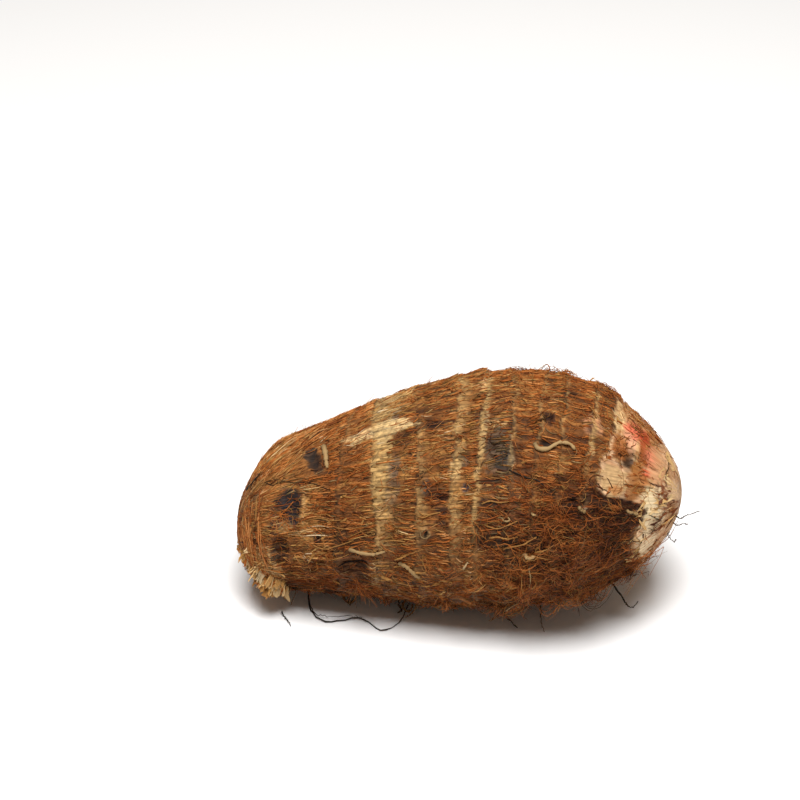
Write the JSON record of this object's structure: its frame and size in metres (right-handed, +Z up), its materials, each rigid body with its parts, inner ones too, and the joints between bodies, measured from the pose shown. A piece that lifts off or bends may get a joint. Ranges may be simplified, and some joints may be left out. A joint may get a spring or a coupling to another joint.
{
  "type": "taro root",
  "caption": "Small taro corm lying on its side: a ringed, fibrous brown barrel with a pale leaf bud at one end and a torn heel at the other.",
  "frame": {"origin": "on the table, under the middle of the corm's box, inside the flat where the corm bears", "axes": "+X along the corm from the torn heel to the bud, +Z up, -Y towards the side where the heel bends forward"},
  "size_m": [0.1044, 0.0572, 0.0571],
  "materials": {
    "corm_skin": "dry, matt, fibrous brown skin with paler leaf-scar rings",
    "skin_fibre": "dry, matt, straw-like fibre and hair roots, rust brown to tan",
    "bud_sheath": "smooth, slightly waxy, cream with a pink flush",
    "rootlet": "matt, shrivelled, cream to dark brown"
  },
  "bodies": {
    "root": {"corm": "corm_skin"}
  },
  "joints": []
}
